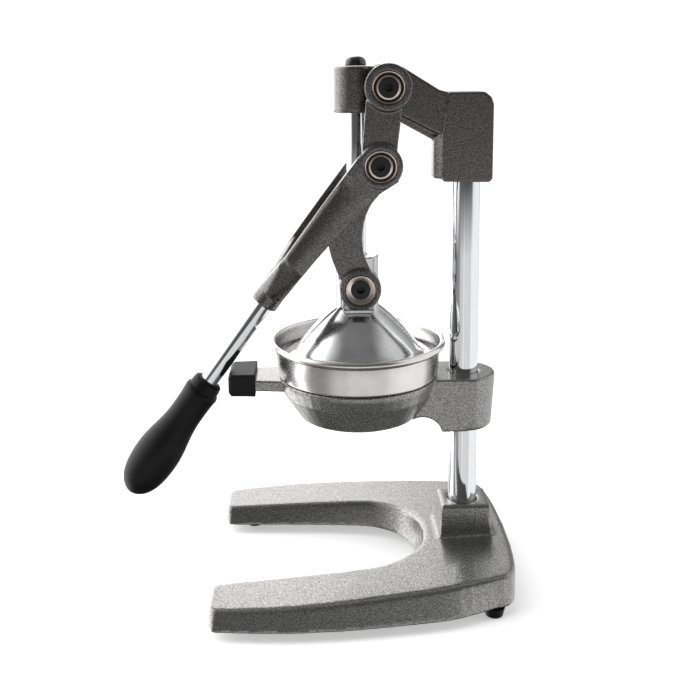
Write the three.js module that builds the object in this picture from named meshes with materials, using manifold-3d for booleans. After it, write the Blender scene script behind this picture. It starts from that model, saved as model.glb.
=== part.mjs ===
// Lever-operated citrus press: cast base, column, bowl holder, toggle linkage and press cone.
// Millimetres, +Z up. The plunger slides on x = 0, y = 0; the handle side is -Y.
import * as THREE from "three";
import { ConvexGeometry } from "three/addons/geometries/ConvexGeometry.js";
import { mergeVertices } from "three/addons/utils/BufferGeometryUtils.js";
import Module from "manifold-3d";

const wasm = await Module();
wasm.setup();

// ---- driving dimensions ----
const CENTRE_SHIFT = 38.927; // moves the middle of the footprint onto the origin
const GAP = 0.3;           // clearance between neighbouring pieces

const BASE_BOTTOM = 8;     // height of the base casting's underside
const BASE_FRONT = -124;   // leg tips
const BASE_TIP_TOP = 24;   // top of the casting at the leg tips
const BASE_RISE = 0.052;   // slope of the base's top face, front to back
const BASE_FLARE = 7;      // how far the legs' sides spread towards the bottom
const BACK_FLARE = 1;      // the same at the back corners
const BLOCK_TOP = 63;      // top of the column socket block
const FOOT_R = 9;

const COLUMN_Y = 92.4;
const COLUMN_R = 12.5;
const COLUMN_BOTTOM = 18;
const COLUMN_TOP = 414;

const RIM_Z = 213;         // top of the juice cup's rolled rim
const CUP_R = 75.7;
const HOLDER_TOP = 181.2;
const TONGUE_HALF = 19;    // half width and underside of the tongue under the bumper cap
const TONGUE_BOTTOM = 171.8;
const COLLAR_BOTTOM = 133.4;

const RIB_HALF = 7;        // ribs down the front and back of the press head
const RIB_RISE = 1.2;
const ROD_R = 8;
const NOSE_R = 18.6;
const NOSE_TOP = 444.6;
const NOSE_BOTTOM = 406.6;
const ROD_TOP = NOSE_TOP;
const BRACKET_HALF = 17;

const PIVOT_A = [24.5, 427.4];  // y, z of the fixed pivot on the bracket
const PIVOT_B = [18.0, 364.2];  // knee
const PIVOT_C = [1.5, 261.3];   // pivot on the press head
const HUB_A_R = 19.2;
const HUB_B_R = 18.3;
const HUB_C_R = 17.4;
const LINK_IN = 19.2;      // inner and outer faces of the links, along x
const LINK_OUT = 27.2;
const ARM_IN = 27.9;       // inner and outer faces of the lever's arms
const BAR_OUT = 32.6;      // outer face of the lever between its two pivots
const ARM_OUT = 36.4;
const HUB_OUT = 37.4;
const LINK_HUB_OUT = 30.2;
const BUSH_R = 12.9;
const BUSH_C_R = 12.1;
const SCREW_R = 7.9;

const TUBE_R = 8;
const TUBE_DIR = [-0.5855, -0.8107];     // y, z direction of the handle tube
const SOCKET_MOUTH = [-80.9, 243.9];
const GRIP_START = 83.5;
const GRIP_LENGTH = 124;

// ---- colours ----
const material = (color, roughness, metalness) =>
  new THREE.MeshStandardMaterial({ color, roughness, metalness });
const hammered = () => material(0x6c6b6c, 0.42, 0.45);
const darkHammered = () => material(0x4f4d4e, 0.42, 0.45);
const chrome = () => material(0xd8dadc, 0.08, 1.0);
const steel = () => material(0xb9b6b1, 0.28, 1.0);
const polished = () => material(0x9b9b9d, 0.22, 1.0);
const bronze = () => material(0xb08a78, 0.3, 1.0);
const black = () => material(0x141414, 0.35, 0.2);
const rubber = () => material(0x101010, 0.7, 0.0);

// ---- helpers ----
function solid(geometry) {
  const bare = geometry.clone();
  bare.deleteAttribute("normal");
  bare.deleteAttribute("uv");
  const merged = mergeVertices(bare, 1e-4);
  return new wasm.Manifold(new wasm.Mesh({
    numProp: 3,
    vertProperties: new Float32Array(merged.attributes.position.array),
    triVerts: new Uint32Array(merged.index.array),
  }));
}

function surface(body) {
  const mesh = body.getMesh();
  const geometry = new THREE.BufferGeometry();
  geometry.setAttribute("position", new THREE.BufferAttribute(new Float32Array(mesh.vertProperties), 3));
  geometry.setIndex(new THREE.BufferAttribute(new Uint32Array(mesh.triVerts), 1));
  geometry.computeVertexNormals();
  return geometry;
}

function piece(name, body, finish) {
  const mesh = new THREE.Mesh(surface(body), finish);
  mesh.name = name;
  return mesh;
}

// Prism along x from a list of [y, z] corners.
function prismX(points, x0, x1) {
  const shape = new THREE.Shape(points.map(([y, z]) => new THREE.Vector2(y, z)));
  const geometry = new THREE.ExtrudeGeometry(shape, { depth: x1 - x0, bevelEnabled: false });
  const turn = new THREE.Matrix4().makeBasis(
    new THREE.Vector3(0, 1, 0), new THREE.Vector3(0, 0, 1), new THREE.Vector3(1, 0, 0));
  geometry.applyMatrix4(turn);
  geometry.translate(x0, 0, 0);
  return solid(geometry);
}

// Prism along z from a list of [x, y] corners.
function prismZ(points, z0, z1) {
  const shape = new THREE.Shape(points.map(([x, y]) => new THREE.Vector2(x, y)));
  const geometry = new THREE.ExtrudeGeometry(shape, { depth: z1 - z0, bevelEnabled: false });
  geometry.translate(0, 0, z0);
  return solid(geometry);
}

// Revolved profile of [radius, height] corners, about z.
function lathe(profile, segments) {
  const points = profile.map(([r, z]) => new THREE.Vector2(r, z));
  const geometry = new THREE.LatheGeometry(points, segments);
  geometry.rotateX(Math.PI / 2);
  return solid(geometry);
}

// Revolved ring: the profile closes on itself away from the axis.
function ring(profile, segments) {
  return lathe([...profile, profile[0]], segments);
}

function rod(radius, z0, z1, segments = 32, chamfer = 0.6) {
  return lathe([[0, z0], [radius - chamfer, z0], [radius, z0 + chamfer],
    [radius, z1 - chamfer], [radius - chamfer, z1], [0, z1]], segments);
}

// Revolved profile of [radius, distance] corners about an axis parallel to x, through [y, z].
function latheX(profile, centre, segments) {
  return lathe(profile, segments).rotate([0, 90, 0]).translate([0, centre[0], centre[1]]);
}

function cylinderX(radius, x0, x1, centre, segments = 40, chamfer = 0) {
  const profile = [[0, x0], [radius - chamfer, x0], [radius, x0 + chamfer],
    [radius, x1 - chamfer], [radius - chamfer, x1], [0, x1]];
  const corners = profile.filter((p, i) => i === 0 || p[0] !== profile[i - 1][0] || p[1] !== profile[i - 1][1]);
  return latheX(corners, centre, segments);
}

function box(x0, x1, y0, y1, z0, z1) {
  const geometry = new THREE.BoxGeometry(x1 - x0, y1 - y0, z1 - z0);
  geometry.translate((x0 + x1) / 2, (y0 + y1) / 2, (z0 + z1) / 2);
  return solid(geometry);
}

function hull(points) {
  return solid(new ConvexGeometry(points.map(([x, y, z]) => new THREE.Vector3(x, y, z))));
}

function smooth(points, count) {
  const curve = new THREE.SplineCurve(points.map(([a, b]) => new THREE.Vector2(a, b)));
  return curve.getPoints(count).map((p) => [p.x, p.y]);
}

const mirrorX = (body) => body.mirror([1, 0, 0]);

// Places a body built along +z from its origin onto the handle's axis.
function alongTube(body, start) {
  const angle = THREE.MathUtils.radToDeg(Math.atan2(TUBE_DIR[0], TUBE_DIR[1]));
  return body.rotate([-angle, 0, 0]).translate([0,
    SOCKET_MOUTH[0] + TUBE_DIR[0] * start, SOCKET_MOUTH[1] + TUBE_DIR[1] * start]);
}

// ---- base ----
const topOfBase = (y) => BASE_TIP_TOP + (y - BASE_FRONT) * BASE_RISE;

// Plan outline of the base, spread outwards by the given amounts along the legs and at the back.
function baseOutline(spread, backSpread) {
  const side = smooth([[108, BASE_FRONT + 4], [111.8, -70], [110.6, -20], [106.4, 20], [100.8, 60],
    [93, 96], [88.4, 113]], 22);
  const back = smooth([[88.4, 113], [84.4, 119.4], [72, 124.6], [40, 128.2], [0, 129.4]], 12).slice(1);
  const inner = smooth([[0, 58], [22, 54.5], [42, 42], [55, 24], [61, 4], [65.5, -50],
    [69, BASE_FRONT + 3]], 22);
  const tip = [[71.5, BASE_FRONT], [105, BASE_FRONT]];
  const half = [...inner, ...tip, ...side, ...back];
  const right = half.map(([x, y], i) => {
    const before = half[Math.max(i - 1, 0)];
    const after = half[Math.min(i + 1, half.length - 1)];
    const dx = i === 0 || i === half.length - 1 ? 1 : after[0] - before[0];
    const dy = i === 0 || i === half.length - 1 ? 0 : after[1] - before[1];
    const size = Math.hypot(dx, dy);
    const sign = i === half.length - 1 ? -1 : 1;
    const reach = THREE.MathUtils.mapLinear(THREE.MathUtils.clamp(y, 70, 105), 70, 105, spread, backSpread)
      * (y < BASE_FRONT + 1 ? 0.35 : 1);
    return [x + (i === 0 ? 0 : (sign * dy * reach) / size), y - (sign * dx * reach) / size];
  });
  const left = right.slice(1, -1).reverse().map(([x, y]) => [-x, y]);
  return [...right, ...left];
}

function baseBody() {
  const layers = [baseOutline(BASE_FLARE, BACK_FLARE), baseOutline(1, 0.8), baseOutline(-1.2, -1.2)];
  const shape = new THREE.Shape(layers[0].map(([x, y]) => new THREE.Vector2(x, y)));
  const geometry = new THREE.ExtrudeGeometry(shape, { depth: 2, steps: 2, bevelEnabled: false });
  const position = geometry.attributes.position;
  const lookup = new Map(layers[0].map(([x, y], i) => [`${x.toFixed(3)},${y.toFixed(3)}`, i]));
  for (let i = 0; i < position.count; i++) {
    const index = lookup.get(`${position.getX(i).toFixed(3)},${position.getY(i).toFixed(3)}`);
    const level = Math.round(position.getZ(i));
    const [x, y] = layers[level][index];
    const z = level === 0 ? BASE_BOTTOM : topOfBase(y) - (level === 1 ? 2.2 : 0);
    position.setXYZ(i, x, y, z);
  }
  return solid(geometry);
}

function socketBlock() {
  const levels = [[23.6, 68.6, 117.4, 26], [20.2, 70.4, 116, 40], [17.9, 72, 115, BLOCK_TOP - 1.2],
    [16.9, 73, 114, BLOCK_TOP]];
  const parts = levels.slice(1).map((upper, i) => {
    const corners = [levels[i], upper].flatMap(([x, y0, y1, z]) =>
      [[x, y0, z], [-x, y0, z], [x, y1, z], [-x, y1, z]]);
    return hull(corners);
  });
  return parts.reduce((a, b) => a.add(b));
}

function base() {
  const bore = rod(COLUMN_R + GAP, COLUMN_BOTTOM - GAP, BLOCK_TOP + 5, 48, 0.1)
    .translate([0, COLUMN_Y, 0]);
  return piece("base", baseBody().add(socketBlock()).subtract(bore), hammered());
}

function feet() {
  const places = [["foot_front_left", 83, -99], ["foot_front_right", -83, -99],
    ["foot_back_left", 84, 106], ["foot_back_right", -84, 106]];
  return places.map(([name, x, y]) => {
    const body = lathe([[0, 0], [FOOT_R - 2.4, 0], [FOOT_R - 1.6, 0.8], [FOOT_R, BASE_BOTTOM - GAP],
      [0, BASE_BOTTOM - GAP]], 28);
    return piece(name, body.translate([x, y, 0]), rubber());
  });
}

function column() {
  const body = rod(COLUMN_R, COLUMN_BOTTOM, COLUMN_TOP, 44, 1).translate([0, COLUMN_Y, 0]);
  return piece("column", body, chrome());
}

// ---- bowl holder, bumper cap, cup, strainer and reamer ----
function bowlHolder() {
  const dish = ring([[26, 144], [42, 143.6], [47, 144], [51.4, 146], [65.2, 167], [68.6, 177],
    [69.4, HOLDER_TOP], [26, HOLDER_TOP]], 48);
  const hollow = lathe([[0, 151], [43, 151], [57, 158], [63, 166], [65.6, 175], [66.1, HOLDER_TOP + 2],
    [0, HOLDER_TOP + 2]], 48);
  const drain = rod(26, 140, 152, 48, 0.1);
  const arm = hull([46, COLUMN_Y].flatMap((y) => [[27, y, HOLDER_TOP], [-27, y, HOLDER_TOP],
    [24, y, COLLAR_BOTTOM], [-24, y, COLLAR_BOTTOM]]));
  const arch = cylinderX(17.3, -40, 40, [53.9, 130], 40);
  const collar = lathe([[0, COLLAR_BOTTOM], [21.6, COLLAR_BOTTOM], [23.8, COLLAR_BOTTOM + 1.2], [24.6, 137],
    [27.2, 177], [27.2, 180], [26.4, HOLDER_TOP], [0, HOLDER_TOP]], 44).translate([0, COLUMN_Y, 0]);
  const half = [[TONGUE_HALF, -103.5], [TONGUE_HALF, -88], [22, -66], [22, -55]];
  const tongue = prismZ([...half, ...half.slice().reverse().map(([x, y]) => [-x, y])],
    TONGUE_BOTTOM, HOLDER_TOP);
  const bore = rod(COLUMN_R + GAP, 100, 200, 48, 0.1).translate([0, COLUMN_Y, 0]);
  const screwBore = rod(3.2 + GAP, 0, 20, 20, 0.1).rotate([-90, 0, 0]).translate([0, 104, 157]);
  const casting = arm.add(collar).subtract(arch).add(dish).add(tongue)
    .subtract(hollow).subtract(drain).subtract(bore).subtract(screwBore);
  return piece("bowl_holder", casting, hammered());
}

function bumperCap() {
  const section = (x, z0, z1, y) => [[-x, y, z0], [x, y, z0], [-x, y, z1], [x, y, z1]];
  const outer = hull([...section(17.5, 170.5, 184.2, -111.8), ...section(20, 168, 186.6, -109.4),
    ...section(20.6, 167.4, 187, -88.6)]);
  const inner = TONGUE_HALF + GAP;
  const hollow = box(-inner, inner, -103.8, -80, TONGUE_BOTTOM - GAP, HOLDER_TOP + GAP);
  return piece("bumper_cap", outer.subtract(hollow), rubber());
}

function juiceCup() {
  const body = ring([[15, 147], [16, 150.4], [43, 154.6], [55.6, 161], [61.6, 168.4],
    [65, 181.4], [67.6, 182.6], [69, 185.6], [71.6, 206.2], [75.2, 208], [CUP_R, 209.8],
    [74.6, 212.4], [72.8, RIM_Z], [71.4, 211.6], [68.6, 192.2], [66.4, 184.6], [63.4, 183.2],
    [60, 169.2], [54.4, 162.6], [42.4, 156.4], [14.6, 152], [13.4, 147]], 48);
  return piece("juice_cup", body, steel());
}

function strainer() {
  let plate = ring([[12, 186.4], [64, 186.4], [66, 187.4], [66, 188.9], [63.4, 187.9], [12, 187.9]], 40);
  const slots = 20;
  for (let i = 0; i < slots; i++) {
    const slot = box(51.5, 60, -1.5, 1.5, 180, 195).rotate([0, 0, (i * 360) / slots]);
    plate = plate.subtract(slot);
  }
  return piece("strainer", plate, steel());
}

function reamer() {
  const ribs = 12;
  const profile = [[0, 188.2], [47, 188.2], [47.4, 189.6], [45, 192], [30, 206], [17, 219.5], [8, 228],
    [3, 230.4], [0, 230.6]];
  const points = profile.map(([r, z]) => new THREE.Vector2(r, z));
  const geometry = new THREE.LatheGeometry(points, ribs * 6);
  geometry.rotateX(Math.PI / 2);
  const position = geometry.attributes.position;
  for (let i = 0; i < position.count; i++) {
    const [x, y, z] = [position.getX(i), position.getY(i), position.getZ(i)];
    const depth = z > 190 && z < 229 ? 0.07 : 0;
    const scale = 1 - depth * (0.5 - 0.5 * Math.cos(Math.atan2(y, x) * ribs));
    position.setXYZ(i, x * scale, y * scale, z);
  }
  return piece("reamer", solid(geometry), polished());
}

// ---- plunger ----
function pressShell() {
  const profile = [[14.5, 236.6], [51.5, 203.4], [60.5, 197.6], [60.6, 196.6], [64.2, 196.6],
    [64.4, 198.6], [59.5, 201.6], [53.6, 205.8], [40.9, 220.4], [28.8, 233], [18.2, 242.4],
    [0, 246], [0, 236.6], [14.5, 236.6]];
  const geometry = new THREE.LatheGeometry(profile.map(([r, z]) => new THREE.Vector2(r, z)), 48);
  geometry.rotateX(Math.PI / 2);
  const position = geometry.attributes.position;
  for (let i = 0; i < position.count; i++) {
    const [x, y, z] = [position.getX(i), position.getY(i), position.getZ(i)];
    const outside = Math.hypot(x, y) > 25 && z > 203.5 && z < 240;
    const sunk = outside && Math.abs(x) > RIB_HALF ? RIB_RISE / Math.hypot(x, y) : 0;
    position.setXYZ(i, x * (1 - sunk), y * (1 - sunk), z);
  }
  return solid(geometry);
}

function pressCone() {
  const neck = rod(18.3, 240, 286, 40, 0.8);
  const boss = cylinderX(17.4, -LINK_IN + 0.6, LINK_IN - 0.6, PIVOT_C, 36, 0.6);
  const bore = rod(ROD_R + GAP, 250 - GAP, 300, 32, 0.1);
  const lug = hull([[24.3, 13.2, 243.3], [24.3, 13.2, 241.6], [24.3, 11.5, 240], [21, 8, 234]]
    .flatMap(([x, y, z]) => [[x, y, z], [-x, y, z], [x, -y, z], [-x, -y, z]]));
  const inside = lathe([[0, 190], [60, 190], [60.5, 197.6], [51.5, 203.4], [14.5, 236.6], [0, 236.6]], 40);
  const pinBore = cylinderX(5.3, 9.4, 40, PIVOT_C, 20);
  const body = neck.add(lug).add(boss).subtract(inside).add(pressShell()).subtract(bore)
    .subtract(pinBore).subtract(mirrorX(pinBore));
  return piece("press_cone", body, polished());
}

function plungerRod() {
  return piece("plunger_rod", rod(ROD_R, 250, ROD_TOP, 40, 0.6), chrome());
}

function rodCap() {
  const body = lathe([[0, ROD_TOP + GAP], [8.4, ROD_TOP + GAP], [8.8, 445.4], [8.9, 447.6], [8, 450.2],
    [5.4, 452.2], [2.4, 452.9], [0, 453]], 24);
  return piece("rod_cap", body, black());
}

// ---- top bracket ----
function topBracket() {
  const nose = rod(NOSE_R, NOSE_BOTTOM, NOSE_TOP, 40, 1.2);
  const arm = prismX([[0, NOSE_BOTTOM + 0.6], [30, NOSE_BOTTOM + 0.6], [41, 402.4], [64, 390.4],
    [74, 386], [82, 400], [76, 422.4], [68, 424.6], [38, 443.4], [33, NOSE_TOP - 0.3],
    [0, NOSE_TOP - 0.3]], -BRACKET_HALF + 1.5, BRACKET_HALF - 1.5);
  const socket = prismX([[72, 392], [70.6, 388], [70.6, 351], [72, 349], [110, 348.2], [112.4, 351],
    [112.8, 412], [110.8, 418.2], [105.4, 422.6], [75.5, 422.6]], -BRACKET_HALF, BRACKET_HALF);
  const prow = prismZ([[-BRACKET_HALF, 71.5], [-8, 64.3], [8, 64.3], [BRACKET_HALF, 71.5],
    [BRACKET_HALF, 86], [-BRACKET_HALF, 86]], 351.2, 388)
    .intersect(prismX([[60, 340], [90, 340], [90, 389], [68, 388], [60, 383]], -30, 30));
  const rib = prismX([[34, 404], [38, 397.6], [66, 382], [72, 382], [72, 400], [34, 410]], -6, 6);
  const boss = cylinderX(17, -BRACKET_HALF - 1.4, BRACKET_HALF + 1.4, PIVOT_A, 40, 0.6);
  const rodBore = rod(11 + GAP, 390, 460, 40, 0.1);
  const columnBore = rod(COLUMN_R + GAP, 330, COLUMN_TOP + GAP, 48, 0.1).translate([0, COLUMN_Y, 0]);
  const pinBore = cylinderX(5.3, -40, 40, PIVOT_A, 24);
  const screwBore = rod(3.2 + GAP, 0, 20, 20, 0.1).rotate([-90, 0, 0]).translate([0, 100, 378]);
  const casting = nose.add(arm).add(socket).add(prow).add(rib).add(boss).subtract(rodBore).subtract(columnBore)
    .subtract(pinBore).subtract(screwBore);
  return piece("top_bracket", casting, darkHammered());
}

function guideBush() {
  const body = ring([[ROD_R + 0.5, 408], [11, 408], [11, 443.8], [ROD_R + 0.5, 443.8]], 40);
  return piece("guide_bush", body, bronze());
}

// Headless screw seated from outside in a face that looks along -y or +y.
function setScrew(name, y0, y1, z) {
  const body = rod(3.2, 0, y1 - y0, 20, 0.4).subtract(hexSocket(1.6, y1 - y0 - 2, y1 - y0 + 1));
  return piece(name, body.rotate([-90, 0, 0]).translate([0, y0, z]), black());
}

function hexSocket(radius, z0, z1) {
  const corners = [0, 1, 2, 3, 4, 5].map((i) =>
    [radius * Math.cos((i * Math.PI) / 3), radius * Math.sin((i * Math.PI) / 3)]);
  return prismZ(corners, z0, z1);
}

// ---- lever ----
function leverSide() {
  const hubA = cylinderX(HUB_A_R, LINK_IN, HUB_OUT, PIVOT_A, 32, 0.8);
  const hubB = cylinderX(HUB_B_R, ARM_IN, HUB_OUT, PIVOT_B, 32, 0.8);
  const bar = prismX([[6.9, 419], [3.6, 381], [2.8, 372], [31.4, 372], [32.3, 381], [36.2, 413],
    [36.2, 419]], ARM_IN, BAR_OUT);
  const upper = [[1.6, 374], [-30, 332.4], [-60.6, 290.8]];
  const lower = smooth([[-47.2, 274.6], [-22.1, 302.9], [-3, 322.5], [13.8, 339.3], [24, 346.4],
    [33, 352]], 10);
  const arm = prismX([...upper, ...lower], ARM_IN, ARM_OUT);
  return hubA.add(hubB).add(bar).add(arm).add(leverBridge());
}

// Joins one arm to the socket that holds the handle tube.
function leverBridge() {
  const arm = [[-52.6, 298.4], [-60.6, 290.8], [-47.2, 274.6], [-39, 284]];
  const plate = arm.flatMap(([y, z]) => [[ARM_IN, y, z], [ARM_OUT, y, z]]);
  const shoulder = [];
  for (const [start, radius] of [[-26, 10.5], [-10, 12]]) {
    for (let i = 0; i < 16; i++) {
      const a = (i * Math.PI) / 8;
      const side = radius * Math.sin(a);
      shoulder.push([radius * Math.cos(a),
        SOCKET_MOUTH[0] + TUBE_DIR[0] * start - TUBE_DIR[1] * side,
        SOCKET_MOUTH[1] + TUBE_DIR[1] * start + TUBE_DIR[0] * side]);
    }
  }
  return hull([...plate, ...shoulder]);
}

function leverYoke() {
  const socket = alongTube(rod(12, -30, 0, 32, 0.8), 0);
  const bore = alongTube(rod(TUBE_R + GAP, -26, 5, 32, 0.1), 0);
  const near = leverSide();
  let casting = near.add(mirrorX(near)).add(socket).subtract(bore);
  for (const side of [1, -1]) {
    for (const [centre, inner] of [[PIVOT_A, LINK_IN], [PIVOT_B, ARM_IN]]) {
      const seat = cylinderX(BUSH_R + GAP, 30, 50, centre, 32);
      const hole = cylinderX(5.3, inner - 5, 50, centre, 20);
      casting = casting.subtract(side > 0 ? seat : mirrorX(seat))
        .subtract(side > 0 ? hole : mirrorX(hole));
    }
  }
  return piece("lever_yoke", casting, darkHammered());
}

function handleTube() {
  return piece("handle_tube", alongTube(rod(TUBE_R, -25.5, GRIP_START + 60, 40, 0.8), 0), chrome());
}

function handleGrip() {
  const outline = [[0, 0], [10.6, 0], [12.4, 1.2], [13.2, 4], [13.4, 8.4], [14.6, 9.6], [15.4, 12],
    [15.1, 16], [14.7, 21], [14.5, 30], [14.6, 39], [15.2, 47], [16.6, 56], [18.3, 65], [19.6, 74],
    [20.1, 83], [19.9, 91], [19.1, 99], [17.6, 106], [15.4, 112], [12, 117.4], [7.6, 121.6],
    [3.6, 123.6], [0, GRIP_LENGTH]];
  const body = lathe(outline, 24).subtract(rod(TUBE_R + GAP, -5, 60 + GAP, 36, 0.1));
  return piece("handle_grip", alongTube(body, GRIP_START), rubber());
}

// ---- links ----
function link(name, side) {
  const front = smooth([[8, 366], [-4, 352], [-15, 337], [-22.4, 322], [-25.2, 307], [-23.6, 293],
    [-19, 279], [-13.2, 266]], 16);
  const back = smooth([[13.4, 267], [9.6, 278.5], [5.2, 288], [3.7, 298], [3.8, 311], [6.6, 323.4],
    [12, 334], [20, 343], [28, 354]], 16);
  const plate = prismX([...front, ...back], LINK_IN, LINK_OUT - 0.4);
  const eyeB = cylinderX(HUB_B_R - 1.3, LINK_IN, LINK_OUT, PIVOT_B, 36);
  const eyeC = cylinderX(HUB_C_R, LINK_IN, LINK_HUB_OUT, PIVOT_C, 36, 1.4);
  let body = plate.add(eyeB).add(eyeC)
    .subtract(cylinderX(5.3, 10, 50, PIVOT_B, 20))
    .subtract(cylinderX(5.3, 10, 50, PIVOT_C, 20))
    .subtract(cylinderX(BUSH_C_R + GAP, 25, 50, PIVOT_C, 32))
    .subtract(cylinderX(15, LINK_HUB_OUT - 1.2, 50, PIVOT_C, 32));
  if (side < 0) body = mirrorX(body);
  return piece(name, body, darkHammered());
}

// ---- pivot dressing: a bush with a socket screw in it ----

// The lever's bushes have a raised lip on each side of a groove, the links' bushes a sunk cone.
function pivotBush(name, side, centre, seat, face, radius) {
  const inner = SCREW_R + GAP;
  const front = radius > BUSH_C_R
    ? [[radius, face + 0.5], [radius - 0.9, face + 0.5], [radius - 1.1, face - 1.3], [inner + 1.6, face - 1.3],
      [inner + 1.4, face - 0.1], [inner, face - 0.1]]
    : [[radius, face + 0.3], [radius - 0.6, face + 0.3], [inner, face - 1.6]];
  const profile = [[inner, seat], [radius, seat], ...front];
  const body = latheX([...profile, profile[0]], centre, 24);
  return piece(name, side > 0 ? body : mirrorX(body), bronze());
}

function pivotScrew(name, side, centre, tip, seat, face) {
  const shank = cylinderX(5, tip, seat + 1, centre, 16);
  const head = cylinderX(SCREW_R, seat, face, centre, 24);
  const socket = hexSocket(3.6, face - 4.5, face + 2).rotate([0, 90, 0])
    .translate([0, centre[0], centre[1]]);
  const body = shank.add(head).subtract(socket);
  return piece(name, side > 0 ? body : mirrorX(body), black());
}

function pivots() {
  const pieces = [];
  for (const [suffix, side] of [["left", 1], ["right", -1]]) {
    for (const [letter, centre, tip, seat, face, sunk, radius] of [
      ["a", PIVOT_A, 8, 30.3, HUB_OUT, 0.6, BUSH_R],
      ["b", PIVOT_B, ARM_IN + 0.4, 30.3, HUB_OUT, 0.6, BUSH_R],
      ["c", PIVOT_C, 10, 25.3, LINK_HUB_OUT, 1.8, BUSH_C_R]]) {
      pieces.push(pivotBush(`bush_${letter}_${suffix}`, side, centre, seat, face, radius));
      pieces.push(pivotScrew(`screw_${letter}_${suffix}`, side, centre, tip, seat, face - sunk));
    }
  }
  return pieces;
}

// ---- assembly ----
const press = new THREE.Group();
press.name = "citrus_press";
press.add(base(), ...feet(), column(), bowlHolder(), bumperCap(), juiceCup(), strainer(), reamer());
press.add(topBracket(), guideBush());
press.add(setScrew("bracket_screw", 105.2, 112.2, 378), setScrew("holder_screw", 105.4, 117.4, 157));
press.add(leverYoke(), handleTube(), handleGrip(), link("link_left", 1), link("link_right", -1));
press.add(pressCone(), plungerRod(), rodCap(), ...pivots());
press.position.y = CENTRE_SHIFT;

export default press;
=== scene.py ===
# Lever citrus press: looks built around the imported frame. Metres, +Z up, front at -Y.
import math

import bmesh
import bpy
from mathutils import Matrix, Vector


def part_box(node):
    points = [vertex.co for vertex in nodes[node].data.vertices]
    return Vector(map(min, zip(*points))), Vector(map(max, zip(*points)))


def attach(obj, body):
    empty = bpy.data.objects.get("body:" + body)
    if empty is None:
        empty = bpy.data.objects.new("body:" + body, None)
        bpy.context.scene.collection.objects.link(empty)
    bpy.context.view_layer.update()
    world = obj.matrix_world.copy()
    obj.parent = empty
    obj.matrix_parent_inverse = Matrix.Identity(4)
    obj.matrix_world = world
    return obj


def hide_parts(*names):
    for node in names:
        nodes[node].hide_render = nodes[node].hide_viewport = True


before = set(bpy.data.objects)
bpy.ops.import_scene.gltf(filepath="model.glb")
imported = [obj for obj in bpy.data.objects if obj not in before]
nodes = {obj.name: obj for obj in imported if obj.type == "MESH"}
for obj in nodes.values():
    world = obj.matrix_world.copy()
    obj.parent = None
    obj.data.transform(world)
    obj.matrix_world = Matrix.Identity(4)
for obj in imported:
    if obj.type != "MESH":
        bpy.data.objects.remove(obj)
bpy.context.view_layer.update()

MM = 0.001
SHIFT_Y = 38.927          # the plunger's axis sits this far behind the footprint's middle
PIVOT_A = (24.5, 427.4)   # y, z of the linkage pivots, from the plunger's axis
PIVOT_B = (18.0, 364.2)
PIVOT_C = (1.5, 261.3)
LEVER_BUSH_R = 12.9       # outer radii of the rings in the lever and in the links
LINK_BUSH_R = 12.1
RING_BORE_R = 8.2
COLUMN_Y = 92.4
TUBE_DIR = (-0.5855, -0.8107)     # y, z direction of the handle tube, downwards
SOCKET_MOUTH = (-80.9, 243.9)     # y, z of the socket's mouth, where the tube comes out
GRIP_START = 83.5         # the grip's near end, along the tube from the mouth

# ------------------------------------------------------------------ node helpers


def new_material(name):
    mat = bpy.data.materials.new(name)
    mat.use_nodes = True
    tree = mat.node_tree
    return mat, tree, tree.nodes["Principled BSDF"]


def node(tree, kind, **inputs):
    n = tree.nodes.new(kind)
    for key, value in inputs.items():
        n.inputs[key.replace("_", " ")].default_value = value
    return n


def object_coords(tree, scale=(1, 1, 1)):
    coords = tree.nodes.new("ShaderNodeTexCoord")
    mapping = tree.nodes.new("ShaderNodeMapping")
    mapping.inputs["Scale"].default_value = scale
    tree.links.new(coords.outputs["Object"], mapping.inputs["Vector"])
    return mapping.outputs["Vector"]


def noise(tree, vector, scale, detail=2.0, rough=0.5, distortion=0.0):
    n = node(tree, "ShaderNodeTexNoise", Scale=scale, Detail=detail, Roughness=rough,
             Distortion=distortion)
    tree.links.new(vector, n.inputs["Vector"])
    return n.outputs["Fac"]


def ramp(tree, fac, stops):
    r = tree.nodes.new("ShaderNodeValToRGB")
    elements = r.color_ramp.elements
    while len(elements) < len(stops):
        elements.new(0.5)
    for element, (pos, value) in zip(elements, stops):
        element.position = pos
        element.color = (*value, 1) if isinstance(value, tuple) else (value, value, value, 1)
    tree.links.new(fac, r.inputs["Fac"])
    return r.outputs["Color"]


def mix(tree, a, b, fac, mode="MIX"):
    m = tree.nodes.new("ShaderNodeMix")
    m.data_type = "RGBA"
    m.blend_type = mode
    for socket, value in ((m.inputs[0], fac), (m.inputs[6], a), (m.inputs[7], b)):
        if isinstance(value, bpy.types.NodeSocket):
            tree.links.new(value, socket)
        else:
            socket.default_value = value
    return m.outputs[2]


def bump(tree, bsdf, height, strength, distance):
    b = node(tree, "ShaderNodeBump", Strength=strength, Distance=distance)
    tree.links.new(height, b.inputs["Height"])
    tree.links.new(b.outputs["Normal"], bsdf.inputs["Normal"])
    return b


# ------------------------------------------------------------------ materials


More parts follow.
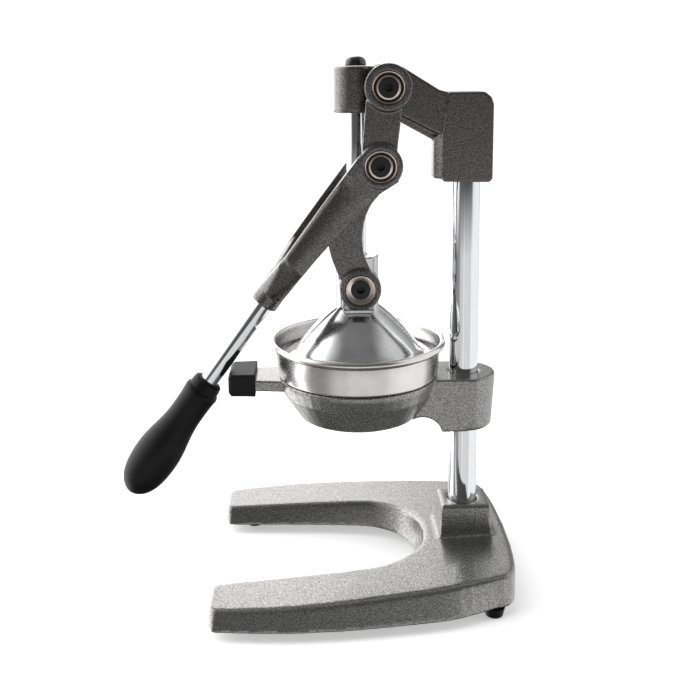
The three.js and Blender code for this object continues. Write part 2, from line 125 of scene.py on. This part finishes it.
def hammered(name, dark, light):
    """Hammered metallic enamel: fine mottled flakes under a clear, slightly rolling gloss."""
    mat, tree, bsdf = new_material(name)
    vector = object_coords(tree)
    cells = noise(tree, vector, 760, 2, 0.55, 1.0)
    fine = noise(tree, vector, 1500, 2, 0.6)
    broad = noise(tree, vector, 22, 3, 0.5)
    ground = ramp(tree, cells, [(0.3, dark), (0.7, light)])
    flecks = ramp(tree, fine, [(0.42, 0.84), (0.6, 1.12)])
    tint = ramp(tree, broad, [(0.35, 0.94), (0.65, 1.05)])
    colour = mix(tree, mix(tree, ground, flecks, 0.8, "MULTIPLY"), tint, 0.7, "MULTIPLY")
    tree.links.new(colour, bsdf.inputs["Base Color"])
    tree.links.new(ramp(tree, cells, [(0.35, 0.33), (0.65, 0.2)]), bsdf.inputs["Roughness"])
    bsdf.inputs["Metallic"].default_value = 0.85
    bsdf.inputs["Coat Weight"].default_value = 0.4
    bsdf.inputs["Coat Roughness"].default_value = 0.07
    bump(tree, bsdf, cells, 0.35, 0.0004)
    return mat


def chrome():
    mat, tree, bsdf = new_material("chrome")
    vector = object_coords(tree, (1, 1, 0.06))
    haze = noise(tree, vector, 900, 3, 0.6)
    tree.links.new(ramp(tree, haze, [(0.3, (0.8, 0.81, 0.82)), (0.7, (0.88, 0.89, 0.9))]),
                   bsdf.inputs["Base Color"])
    tree.links.new(ramp(tree, haze, [(0.3, 0.03), (0.75, 0.09)]), bsdf.inputs["Roughness"])
    bsdf.inputs["Metallic"].default_value = 1.0
    bump(tree, bsdf, haze, 0.02, 0.0002)
    return mat


def stainless():
    mat, tree, bsdf = new_material("stainless")
    vector = object_coords(tree, (0.25, 0.25, 6))
    brushed = noise(tree, vector, 260, 3, 0.6)
    blotch = noise(tree, object_coords(tree), 38, 3, 0.55, 0.8)
    base = ramp(tree, blotch, [(0.3, (0.74, 0.725, 0.71)), (0.62, (0.85, 0.84, 0.825))])
    tree.links.new(mix(tree, base, ramp(tree, brushed, [(0.3, 0.94), (0.7, 1.05)]), 0.7, "MULTIPLY"),
                   bsdf.inputs["Base Color"])
    tree.links.new(ramp(tree, brushed, [(0.3, 0.22), (0.7, 0.3)]), bsdf.inputs["Roughness"])
    bsdf.inputs["Metallic"].default_value = 1.0
    bump(tree, bsdf, brushed, 0.025, 0.0002)
    return mat


def polished():
    mat, tree, bsdf = new_material("polished_aluminium")
    vector = object_coords(tree)
    cast = noise(tree, vector, 700, 3, 0.65, 0.3)
    wave = noise(tree, vector, 45, 2, 0.5)
    base = ramp(tree, cast, [(0.3, (0.5, 0.5, 0.5)), (0.7, (0.6, 0.6, 0.605))])
    tree.links.new(mix(tree, base, ramp(tree, wave, [(0.3, 0.88), (0.7, 1.08)]), 0.8, "MULTIPLY"),
                   bsdf.inputs["Base Color"])
    tree.links.new(ramp(tree, cast, [(0.3, 0.12), (0.7, 0.22)]), bsdf.inputs["Roughness"])
    bsdf.inputs["Metallic"].default_value = 1.0
    bump(tree, bsdf, cast, 0.04, 0.0002)
    return mat


def bronze():
    """Bright rose-tinted rings; the groove between their lips is painted dark brown as shade in the recess.
    """
    mat, tree, bsdf = new_material("bronze_ring")
    vector = object_coords(tree)
    stain = noise(tree, vector, 420, 3, 0.6)
    groove = tree.nodes.new("ShaderNodeAttribute")
    groove.attribute_name = "groove"
    bright = ramp(tree, stain, [(0.3, (0.74, 0.6, 0.53)), (0.7, (0.9, 0.8, 0.72))])
    # painted shade: the sunk groove gets a dark brown colour that stands in for the shade in the recess
    groove_shade = ramp(tree, stain, [(0.3, (0.03, 0.02, 0.016)), (0.7, (0.075, 0.048, 0.036))])
    tree.links.new(mix(tree, bright, groove_shade, groove.outputs["Fac"]), bsdf.inputs["Base Color"])
    tree.links.new(ramp(tree, stain, [(0.3, 0.34), (0.7, 0.22)]), bsdf.inputs["Roughness"])
    bsdf.inputs["Metallic"].default_value = 1.0
    bump(tree, bsdf, stain, 0.05, 0.0002)
    return mat


def dark_finish(name, low, high, rough_low, rough_high, scale, strength, coat=0.0, specular=0.5):
    mat, tree, bsdf = new_material(name)
    bsdf.inputs["Specular IOR Level"].default_value = specular
    vector = object_coords(tree)
    grain = noise(tree, vector, scale, 3, 0.6)
    patch = noise(tree, vector, 35, 2, 0.5)
    tree.links.new(ramp(tree, patch, [(0.3, low), (0.7, high)]), bsdf.inputs["Base Color"])
    tree.links.new(ramp(tree, grain, [(0.3, rough_low), (0.7, rough_high)]), bsdf.inputs["Roughness"])
    bsdf.inputs["Coat Weight"].default_value = coat
    bump(tree, bsdf, grain, strength, 0.0002)
    return mat


MATERIALS = {
    "hammered_grey": hammered("hammered_grey", (0.14, 0.139, 0.138), (0.45, 0.443, 0.435)),
    "hammered_dark": hammered("hammered_dark", (0.06, 0.057, 0.056), (0.22, 0.211, 0.205)),
    "chrome": chrome(),
    "stainless": stainless(),
    "polished_aluminium": polished(),
    "bronze_ring": bronze(),
    "black_screw": dark_finish("black_screw", 0.004, 0.009, 0.32, 0.5, 900, 0.15),
    "black_cap": dark_finish("black_cap", 0.006, 0.01, 0.06, 0.12, 300, 0.02, 0.5),
    "black_rubber": dark_finish("black_rubber", 0.002, 0.005, 0.4, 0.54, 1500, 0.2, 0, 0.24),
}

# ------------------------------------------------------------------ mesh helpers


def add_object(name, bm, slot, body, replaces=(), angle=38):
    mesh = bpy.data.meshes.new(name)
    bmesh.ops.recalc_face_normals(bm, faces=bm.faces)
    bm.to_mesh(mesh)
    bm.free()
    obj = bpy.data.objects.new(name, mesh)
    bpy.context.scene.collection.objects.link(obj)
    finish_object(obj, slot, body, replaces, angle)
    return obj


def finish_object(obj, slot, body, replaces, angle):
    mesh = obj.data
    mesh.materials.clear()
    mesh.materials.append(MATERIALS[slot])
    mesh.polygons.foreach_set("use_smooth", [True] * len(mesh.polygons))
    mesh.set_sharp_from_angle(angle=math.radians(angle))
    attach(obj, body)
    if replaces:
        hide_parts(*replaces)


def rounded(profile, radius, steps=4):
    """Rounds the inner corners of an open profile of (r, z) points."""
    out = [profile[0]]
    for before, here, after in zip(profile, profile[1:], profile[2:]):
        p, a, b = Vector(here), Vector(before), Vector(after)
        reach = min(radius, (a - p).length * 0.45, (b - p).length * 0.45)
        start, end = p + (a - p).normalized() * reach, p + (b - p).normalized() * reach
        for i in range(steps + 1):
            t = i / steps
            q = start * (1 - t) ** 2 + p * 2 * t * (1 - t) + end * t ** 2
            out.append((q.x, q.y))
    out.append(profile[-1])
    return out


def spline(points, count):
    """Catmull-Rom curve through 2-D points."""
    pts = [Vector(p) for p in points]
    pts = [pts[0] * 2 - pts[1], *pts, pts[-1] * 2 - pts[-2]]
    out = []
    for k in range(1, len(pts) - 2):
        for i in range(count):
            t = i / count
            a, b, c, d = pts[k - 1:k + 3]
            out.append(0.5 * (2 * b + (c - a) * t + (2 * a - 5 * b + 4 * c - d) * t * t
                              + (3 * b - a - 3 * c + d) * t ** 3))
    out.append(pts[-2])
    return [(p.x, p.y) for p in out]


def lathe(bm, profile, segments, place=Matrix(), shape=None):
    """Revolves (r, z) points in millimetres about z; shape may move each point."""
    rings = []
    for r, z in profile:
        if r < 1e-6:
            rings.append([bm.verts.new(place @ (Vector((0, 0, z)) * MM))])
            continue
        loop = []
        for i in range(segments):
            a = 2 * math.pi * i / segments
            p = Vector((r * math.cos(a), r * math.sin(a), z))
            if shape:
                p = shape(p, a)
            loop.append(bm.verts.new(place @ (p * MM)))
        rings.append(loop)
    closed = (Vector(profile[0]) - Vector(profile[-1])).length < 1e-6 and profile[0][0] > 1e-6
    if closed:
        for v in rings.pop():
            bm.verts.remove(v)
        rings.append(rings[0])
    for lower, upper in zip(rings, rings[1:]):
        for i in range(segments):
            j = (i + 1) % segments
            corners = [lower[i % len(lower)], lower[j % len(lower)], upper[j % len(upper)],
                       upper[i % len(upper)]]
            unique = list(dict.fromkeys(corners))
            if len(unique) > 2:
                bm.faces.new(unique)


def at(x=0.0, y=0.0, z=0.0):
    return Matrix.Translation(Vector((x, y + SHIFT_Y, z)) * MM)


def side_axis(centre, side):
    """Profile heights run outwards along +x (side 1) or -x (side -1) from the middle plane."""
    turn = Matrix.Rotation(side * math.pi / 2, 4, "Y")
    return at(0, centre[0], centre[1]) @ turn


def along_tube(start):
    direction = Vector((0, *TUBE_DIR)).normalized()
    turn = Vector((0, 0, 1)).rotation_difference(direction).to_matrix().to_4x4()
    return at(0, SOCKET_MOUTH[0] + TUBE_DIR[0] * start, SOCKET_MOUTH[1] + TUBE_DIR[1] * start) @ turn


def cast_from(name, slot, body, voxel, smooth):
    """A casting: its CAD solid as a fine skin whose edges are softened all round."""
    cad_node = name.removesuffix("_skin")
    obj = bpy.data.objects.new(name, nodes[cad_node].data.copy())
    bpy.context.scene.collection.objects.link(obj)
    remesh = obj.modifiers.new("remesh", "REMESH")
    remesh.mode = "VOXEL"
    remesh.voxel_size = voxel * MM
    soften = obj.modifiers.new("soften", "SMOOTH")
    soften.factor = 0.5
    soften.iterations = smooth
    depsgraph = bpy.context.evaluated_depsgraph_get()
    result = bpy.data.meshes.new_from_object(obj.evaluated_get(depsgraph))
    obj.modifiers.clear()
    obj.data = result
    finish_object(obj, slot, body, [cad_node], 60)
    return obj


# ------------------------------------------------------------------ castings


def round_arms(mesh):
    """Rounds the outer faces of the lever's arms across their width, from the socket to the knee."""
    length, fall = 155.4, -9.7      # from mouth to knee, and how far the knee is off the tube's axis
    socket_half, widening, crown = 12.5, 5.5, 5.5
    for vertex in mesh.vertices:
        x, y, z = vertex.co / MM
        dy, dz = y - SHIFT_Y - SOCKET_MOUTH[0], z - SOCKET_MOUTH[1]
        along = -(dy * TUBE_DIR[0] + dz * TUBE_DIR[1]) / length
        across = dy * TUBE_DIR[1] - dz * TUBE_DIR[0] - fall * along
        edge = min(1, abs(across) / (socket_half + widening * along))
        fade = min(1, max(0, (0.87 - along) * 9)) * min(1, max(0, (abs(x) - 29.5) / 5))
        drop = crown * fade * (1 - math.sqrt(1 - 0.96 * edge * edge))
        if along > 0 and drop > 0:
            vertex.co.x -= math.copysign(drop, x) * MM


cast_from("base_skin", "hammered_grey", "frame", 1.3, 6)
cast_from("bowl_holder_skin", "hammered_grey", "frame", 0.9, 6)
cast_from("top_bracket_skin", "hammered_dark", "frame", 0.8, 5)
yoke = cast_from("lever_yoke_skin", "hammered_dark", "lever", 0.7, 5)
round_arms(yoke.data)
cast_from("link_left_skin", "hammered_dark", "links", 0.6, 4)
cast_from("link_right_skin", "hammered_dark", "links", 0.6, 4)
cast_from("bumper_cap_skin", "black_rubber", "frame", 0.6, 6)

# ------------------------------------------------------------------ turned pieces


def turned(name, slot, body, profile, segments=96, place=None, replaces=None, angle=38, shape=None):
    bm = bmesh.new()
    lathe(bm, profile, segments, place or at(), shape)
    return add_object(name, bm, slot, body, replaces or [name[:-5]], angle)


def bar(radius, z0, z1, edge=0.8):
    return rounded([(0, z0), (radius, z0), (radius, z1), (0, z1)], edge, 4)


turned("column_form", "chrome", "frame", bar(12.5, 18, 414), 128, at(0, COLUMN_Y))
turned("plunger_rod_form", "chrome", "plunger", bar(8, 250, 444.6, 0.6), 96)
turned("handle_tube_form", "chrome", "lever", bar(8, -25.5, GRIP_START + 60), 96, along_tube(0))
turned("rod_cap_form", "black_cap", "plunger",
       [(0, 444.9), (8.4, 444.9), (8.8, 445.3), *spline([(8.9, 446), (8.9, 447.4), (8.4, 449.4),
        (7.2, 451), (5.2, 452.2), (2.8, 452.8), (0, 453)], 4)], 72)

for foot in ("foot_front_left", "foot_front_right", "foot_back_left", "foot_back_right"):
    low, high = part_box(foot)
    place = Matrix.Translation(((low[0] + high[0]) / 2, (low[1] + high[1]) / 2, 0))
    turned(foot + "_form", "black_rubber", "frame",
           rounded([(0, 0.6), (3.4, 0.6), (4, 0), (7.2, 0), (9, 7.7), (0, 7.7)], 0.7), 64, place)

CUP = [(15, 147), (16, 150.4), (43, 154.6), (55.6, 161), (61.6, 168.4), (65, 181.5), (68, 181.6),
       (69, 183), (70.2, 195), (71.6, 206.2), (73.6, 206.9), (75.3, 208.2), (75.7, 209.8), (75.2, 211.6),
       (74, 212.8), (72.7, 212.9), (71.4, 211.8), (70.5, 207), (68.6, 192.2), (66.4, 184.6), (63.4, 183.2),
       (60, 169.2), (54.4, 162.6), (42.4, 156.4), (14.6, 152), (13.4, 147)]
cup_profile = rounded(CUP, 1.6, 3)
turned("juice_cup_form", "stainless", "frame", [*cup_profile, cup_profile[0]], 192, angle=60)

REAMER = [(0, 188.2), (47, 188.2), (47.4, 189.6), *spline([(45, 192), (38, 198.5), (30, 206), (17, 219.5),
          (8, 228), (3, 230.4)], 6), (0, 230.6)]


def ribs(p, a):
    depth = 0.07 if 190 < p.z < 229 else 0
    scale = 1 - depth * abs(math.sin(a * 6))
    return Vector((p.x * scale, p.y * scale, p.z))


turned("reamer_form", "polished_aluminium", "frame", REAMER, 240, angle=30, shape=ribs)

GRIP = [(0, 0), (10.6, 0), (12.4, 1.2), (13.2, 4), (13.4, 8.4), (13.5, 8.9), (14.7, 9.8), (15.4, 12),
        (15.1, 16), (14.7, 21), (14.5, 30), (14.6, 39), (15.2, 47), (16.6, 56), (18.3, 65), (19.6, 74),
        (20.1, 83), (19.9, 91), (19.1, 99), (17.6, 106), (15.4, 112), (12, 117.4), (7.6, 121.6),
        (3.6, 123.6), (0, 124)]
turned("handle_grip_form", "black_rubber", "lever", [*GRIP[:6], *spline(GRIP[6:], 3)], 96,
       along_tube(GRIP_START))

PRESS_OUT = [(59.5, 201.6), (53.6, 205.8), (40.9, 220.4), (28.8, 233), (18.5, 242)]
RIB_HALF = 7              # half width of the raised ribs on the press head's front and back


def ribbed(p, a):
    """Sinks the press head's skirt slightly, but for the ribs that look forwards and backwards."""
    radius = math.hypot(p.x, p.y)
    if radius < 18.6 or p.z < 201:
        return p
    rise = min(1, (p.z - 201) / 3) * min(1, max(0, (243 - p.z) / 4))
    edge = min(1, max(0, (abs(p.x) - RIB_HALF) / 1.2))
    scale = 1 - 1.3 * rise * edge * edge * (3 - 2 * edge) / radius
    return Vector((p.x * scale, p.y * scale, p.z))


def merge_solids(obj, bodies):
    """Joins closed meshes into the object by boolean union, then removes them."""
    for name, bm in bodies:
        mesh = bpy.data.meshes.new(name)
        bmesh.ops.recalc_face_normals(bm, faces=bm.faces)
        bm.to_mesh(mesh)
        bm.free()
        other = bpy.data.objects.new(name, mesh)
        bpy.context.scene.collection.objects.link(other)
        join = obj.modifiers.new(name, "BOOLEAN")
        join.operation = "UNION"
        join.solver = "EXACT"
        join.object = other
    depsgraph = bpy.context.evaluated_depsgraph_get()
    mesh = bpy.data.meshes.new_from_object(obj.evaluated_get(depsgraph))
    helpers = [m.object for m in obj.modifiers]
    obj.modifiers.clear()
    obj.data = mesh
    for helper in helpers:
        bpy.data.objects.remove(helper)
    mesh.polygons.foreach_set("use_smooth", [True] * len(mesh.polygons))
    mesh.set_sharp_from_angle(angle=math.radians(30))


def block(corners, bevel):
    """Convex block through the given corners, in millimetres, with rounded edges."""
    bm = bmesh.new()
    for x, y, z in corners:
        bm.verts.new(at() @ (Vector((x, y, z)) * MM))
    hull = bmesh.ops.convex_hull(bm, input=bm.verts)
    inner = [g for g in hull["geom_interior"] if isinstance(g, bmesh.types.BMVert)]
    bmesh.ops.delete(bm, geom=inner, context="VERTS")
    bmesh.ops.dissolve_limit(bm, angle_limit=0.02, verts=bm.verts, edges=bm.edges)
    bmesh.ops.bevel(bm, geom=bm.edges, offset=bevel * MM, segments=3, profile=0.5, affect="EDGES")
    return bm


press = [(0, 236.6), (14.5, 236.6), (51.5, 203.4), (60, 198), (60.6, 196.6), (64.2, 196.6), (64.4, 198.6),
         *spline(PRESS_OUT, 6), (18.3, 243), (18.3, 285), (17.4, 286), (9.2, 286), (8.3, 285.2), (8.3, 252),
         (0, 252)]
cone = turned("press_cone_form", "polished_aluminium", "plunger", press, 480, angle=30, shape=ribbed)
LUG = [(24.3, 13.2, 243.3), (24.3, 13.2, 241.6), (24.3, 11.5, 240), (21, 8, 234)]
lug = block([(i * x, j * y, z) for x, y, z in LUG for i in (-1, 1) for j in (-1, 1)], 0.6)
boss = bmesh.new()
lathe(boss, rounded([(0, -18.6), (17.4, -18.6), (17.4, 18.6), (0, 18.6)], 1, 3), 96,
      side_axis(PIVOT_C, 1))
merge_solids(cone, [("lug", lug), ("boss", boss)])

turned("guide_bush_form", "bronze_ring", "frame",
       [(8.5, 408), (11, 408), (11, 443.8), (8.5, 443.8), (8.5, 408)], 64)

# ------------------------------------------------------------------ pivots


def lipped(radius, face):
    """The lever rings' outer face: two lips with a sunk groove between them."""
    return [(radius, face + 0.3), (radius - 0.3, face + 0.5), (radius - 0.9, face + 0.45),
            (radius - 1.1, face + 0.1), (radius - 1.2, face - 1.2), (RING_BORE_R + 1.7, face - 1.2),
            (RING_BORE_R + 1.5, face - 0.3), (RING_BORE_R + 1.2, face - 0.1),
            (RING_BORE_R + 0.3, face - 0.1), (RING_BORE_R, face - 0.4)]


def coned(radius, face):
    """The link rings' outer face: a rim with a sunk cone inside it."""
    return [(radius, face + 0.1), (radius - 0.2, face + 0.3), (radius - 0.8, face + 0.25),
            (RING_BORE_R + 0.4, face - 1.5), (RING_BORE_R, face - 1.7)]


def pivot_bush(letter, suffix, side, centre, body, seat, face, radius):
    has_groove = radius > LINK_BUSH_R
    front = lipped(radius, face) if has_groove else coned(radius, face)
    profile = [(RING_BORE_R, seat), (radius, seat), *front, (RING_BORE_R, seat)]
    name = f"bush_{letter}_{suffix}"
    bush = turned(name + "_form", "bronze_ring", body, profile, 96, side_axis(centre, side), [name])
    # the groove mask marks the sunk groove, where the ring's material paints shade
    groove = bush.data.attributes.new("groove", "FLOAT", "POINT")
    if has_groove:
        level = (face - 0.9) * MM
        groove.data.foreach_set("value", [float(abs(v.co.x) < level) for v in bush.data.vertices])


def pivot_screw(letter, suffix, side, centre, body, tip, seat, face):
    """Socket-head screw: turned head and shank, with a six-sided socket sunk in its face."""
    socket_reach, socket_depth = 3.6, 4.2
    bm = bmesh.new()
    place = side_axis(centre, side)
    lathe(bm, rounded([(0, tip), (5, tip), (5, seat), (7.9, seat), (7.9, face), (6.4, face)],
                      0.5, 3), 72, place)

    def turn_of(vertex):
        local = place.inverted() @ vertex.co
        return math.atan2(local.y, local.x)

    rim = sorted((v for v in bm.verts if v.is_boundary), key=turn_of)
    hexagon, floor = [], []
    for a in map(turn_of, rim):
        reach = socket_reach * math.cos(math.pi / 6) / math.cos((a % (math.pi / 3)) - math.pi / 6)
        for depth, loop in ((face, hexagon), (face - socket_depth, floor)):
            corner = Vector((reach * math.cos(a), reach * math.sin(a), depth))
            loop.append(bm.verts.new(place @ (corner * MM)))
    for i in range(len(rim)):
        j = (i + 1) % len(rim)
        bm.faces.new((rim[i], rim[j], hexagon[j], hexagon[i]))
        bm.faces.new((hexagon[i], hexagon[j], floor[j], floor[i]))
    bm.faces.new(floor)
    name = f"screw_{letter}_{suffix}"
    add_object(name + "_form", bm, "black_screw", body, [name], 30)


for suffix, side in (("left", 1), ("right", -1)):
    for letter, centre, bush_body, screw_body, tip, seat, face, sunk, radius in (
            ("a", PIVOT_A, "lever", "frame", 8, 30.3, 37.4, 0.6, LEVER_BUSH_R),
            ("b", PIVOT_B, "lever", "lever", 28.3, 30.3, 37.4, 0.6, LEVER_BUSH_R),
            ("c", PIVOT_C, "links", "plunger", 10, 25.3, 30.2, 1.8, LINK_BUSH_R)):
        pivot_bush(letter, suffix, side, centre, bush_body, seat, face, radius)
        pivot_screw(letter, suffix, side, centre, screw_body, tip, seat, face - sunk)

# ------------------------------------------------------------------ carried-over nodes

for name, slot in (("strainer", "stainless"), ("bracket_screw", "black_screw"),
                   ("holder_screw", "black_screw")):
    nodes[name].material_slots[0].material = MATERIALS[slot]

# ------------------------------------------------------------------ stage, light and camera


bpy.ops.mesh.primitive_plane_add(size=1, location=(0, 0, -0.0005))
floor = bpy.context.object
floor.name = "floor"
floor.scale = (12, 12, 1)
floor.visible_glossy = False
floor_mat, _, floor_bsdf = new_material("floor")
floor_bsdf.inputs["Base Color"].default_value = (0.9, 0.9, 0.9, 1)
floor_bsdf.inputs["Roughness"].default_value = 0.9
floor_bsdf.inputs["Emission Color"].default_value = (1, 1, 1, 1)
floor_bsdf.inputs["Emission Strength"].default_value = 0.4
floor.data.materials.append(floor_mat)


def area(name, location, target, size, power):
    """A soft box that lights the object without showing as a reflection."""
    light = bpy.data.lights.new(name, "AREA")
    light.shape = "RECTANGLE"
    light.size, light.size_y = size
    light.energy = power
    obj = bpy.data.objects.new(name, light)
    bpy.context.scene.collection.objects.link(obj)
    obj.location = location
    obj.rotation_euler = (Vector(target) - Vector(location)).to_track_quat("-Z", "Y").to_euler()
    obj.visible_glossy = False


area("key", (0.25, -0.5, 1.7), (0, 0.05, 0.2), (1.3, 1.3), 12)
area("left", (0.3, -1.6, 0.7), (0, 0, 0.25), (0.5, 1.2), 5)
area("right", (0.4, 1.6, 0.8), (0, 0.05, 0.25), (0.6, 1.4), 2)

# Studio walls as (azimuth in degrees from +X, brightness), just below and above the horizon.
BELOW = [(-180, 1.0), (-153, 1.0), (-150, 0.2), (-147, 2.2), (-92, 2.6), (-85, 0.25), (-50, 0.3),
         (-40, 0.6), (-23, 0.75), (-20, 0.42), (-17, 0.9), (-8, 0.85), (0, 0.72), (10, 0.78), (40, 0.72),
         (47, 1.0), (120, 1.0), (140, 0.9), (144, 0.15), (148, 0.9), (180, 1.0)]
ABOVE = [(-180, 2.0), (-166, 2.2), (-140, 2.8), (-92, 2.8), (-80, 1.6), (-62, 1.1), (-48, 0.1),
         (45, 0.08), (60, 0.9), (120, 1.0), (140, 0.5), (160, 0.3), (169, 0.5), (173, 0.9),
         (176.5, 1.9), (180, 2.0)]
CEILING, CEILING_EDGE = 0.28, (0.72, 0.88)      # brightness, and the z range it fades in over
GROUND, GROUND_EDGE = 0.06, (-0.8, -0.62)
HORIZON_EDGE = (-0.15, -0.03)


def surroundings(tree):
    coords = tree.nodes.new("ShaderNodeTexCoord")
    split = tree.nodes.new("ShaderNodeSeparateXYZ")
    tree.links.new(coords.outputs["Generated"], split.inputs["Vector"])
    turn = tree.nodes.new("ShaderNodeMath")
    turn.operation = "ARCTAN2"
    tree.links.new(split.outputs["Y"], turn.inputs[0])
    tree.links.new(split.outputs["X"], turn.inputs[1])

    def spread(value, low, high):
        span = tree.nodes.new("ShaderNodeMapRange")
        span.inputs["From Min"].default_value = low
        span.inputs["From Max"].default_value = high
        tree.links.new(value, span.inputs["Value"])
        return span.outputs["Result"]

    azimuth = spread(turn.outputs[0], -math.pi, math.pi)
    height = split.outputs["Z"]
    below, above = (ramp(tree, azimuth, [((a + 180) / 360, value) for a, value in stops])
                    for stops in (BELOW, ABOVE))
    walls = mix(tree, below, above, spread(height, *HORIZON_EDGE))
    walls = mix(tree, (GROUND, GROUND, GROUND, 1), walls, spread(height, *GROUND_EDGE))
    return mix(tree, walls, (CEILING, CEILING, CEILING, 1), spread(height, *CEILING_EDGE))


world = bpy.data.worlds.new("studio")
world.use_nodes = True
bpy.context.scene.world = world
tree = world.node_tree
background = tree.nodes["Background"]
tree.links.new(surroundings(tree), background.inputs["Color"])
white = node(tree, "ShaderNodeBackground")
white.inputs["Color"].default_value = (1, 1, 1, 1)
white.inputs["Strength"].default_value = 1.05
path = tree.nodes.new("ShaderNodeLightPath")
choose = tree.nodes.new("ShaderNodeMixShader")
tree.links.new(path.outputs["Is Camera Ray"], choose.inputs[0])
tree.links.new(background.outputs[0], choose.inputs[1])
tree.links.new(white.outputs[0], choose.inputs[2])
tree.links.new(choose.outputs[0], tree.nodes["World Output"].inputs["Surface"])

camera_data = bpy.data.cameras.new("camera")
camera = bpy.data.objects.new("camera", camera_data)
bpy.context.scene.collection.objects.link(camera)
right = Vector((0.02323, 0.99965, -0.0129))
up = Vector((-0.16598, 0.01658, 0.98599))
back = right.cross(up)
rotation = Matrix((right, up, back)).transposed().to_4x4()
camera.matrix_world = Matrix.Translation((0.78429, (-38.95 + SHIFT_Y) * MM, 0.4407)) @ rotation
camera_data.sensor_width = 36
camera_data.lens = 48.0533
camera_data.shift_x = 0.028071
camera_data.shift_y = -0.173029
camera_data.clip_start = 0.01
bpy.context.scene.camera = camera
bpy.context.scene.view_settings.view_transform = "Standard"
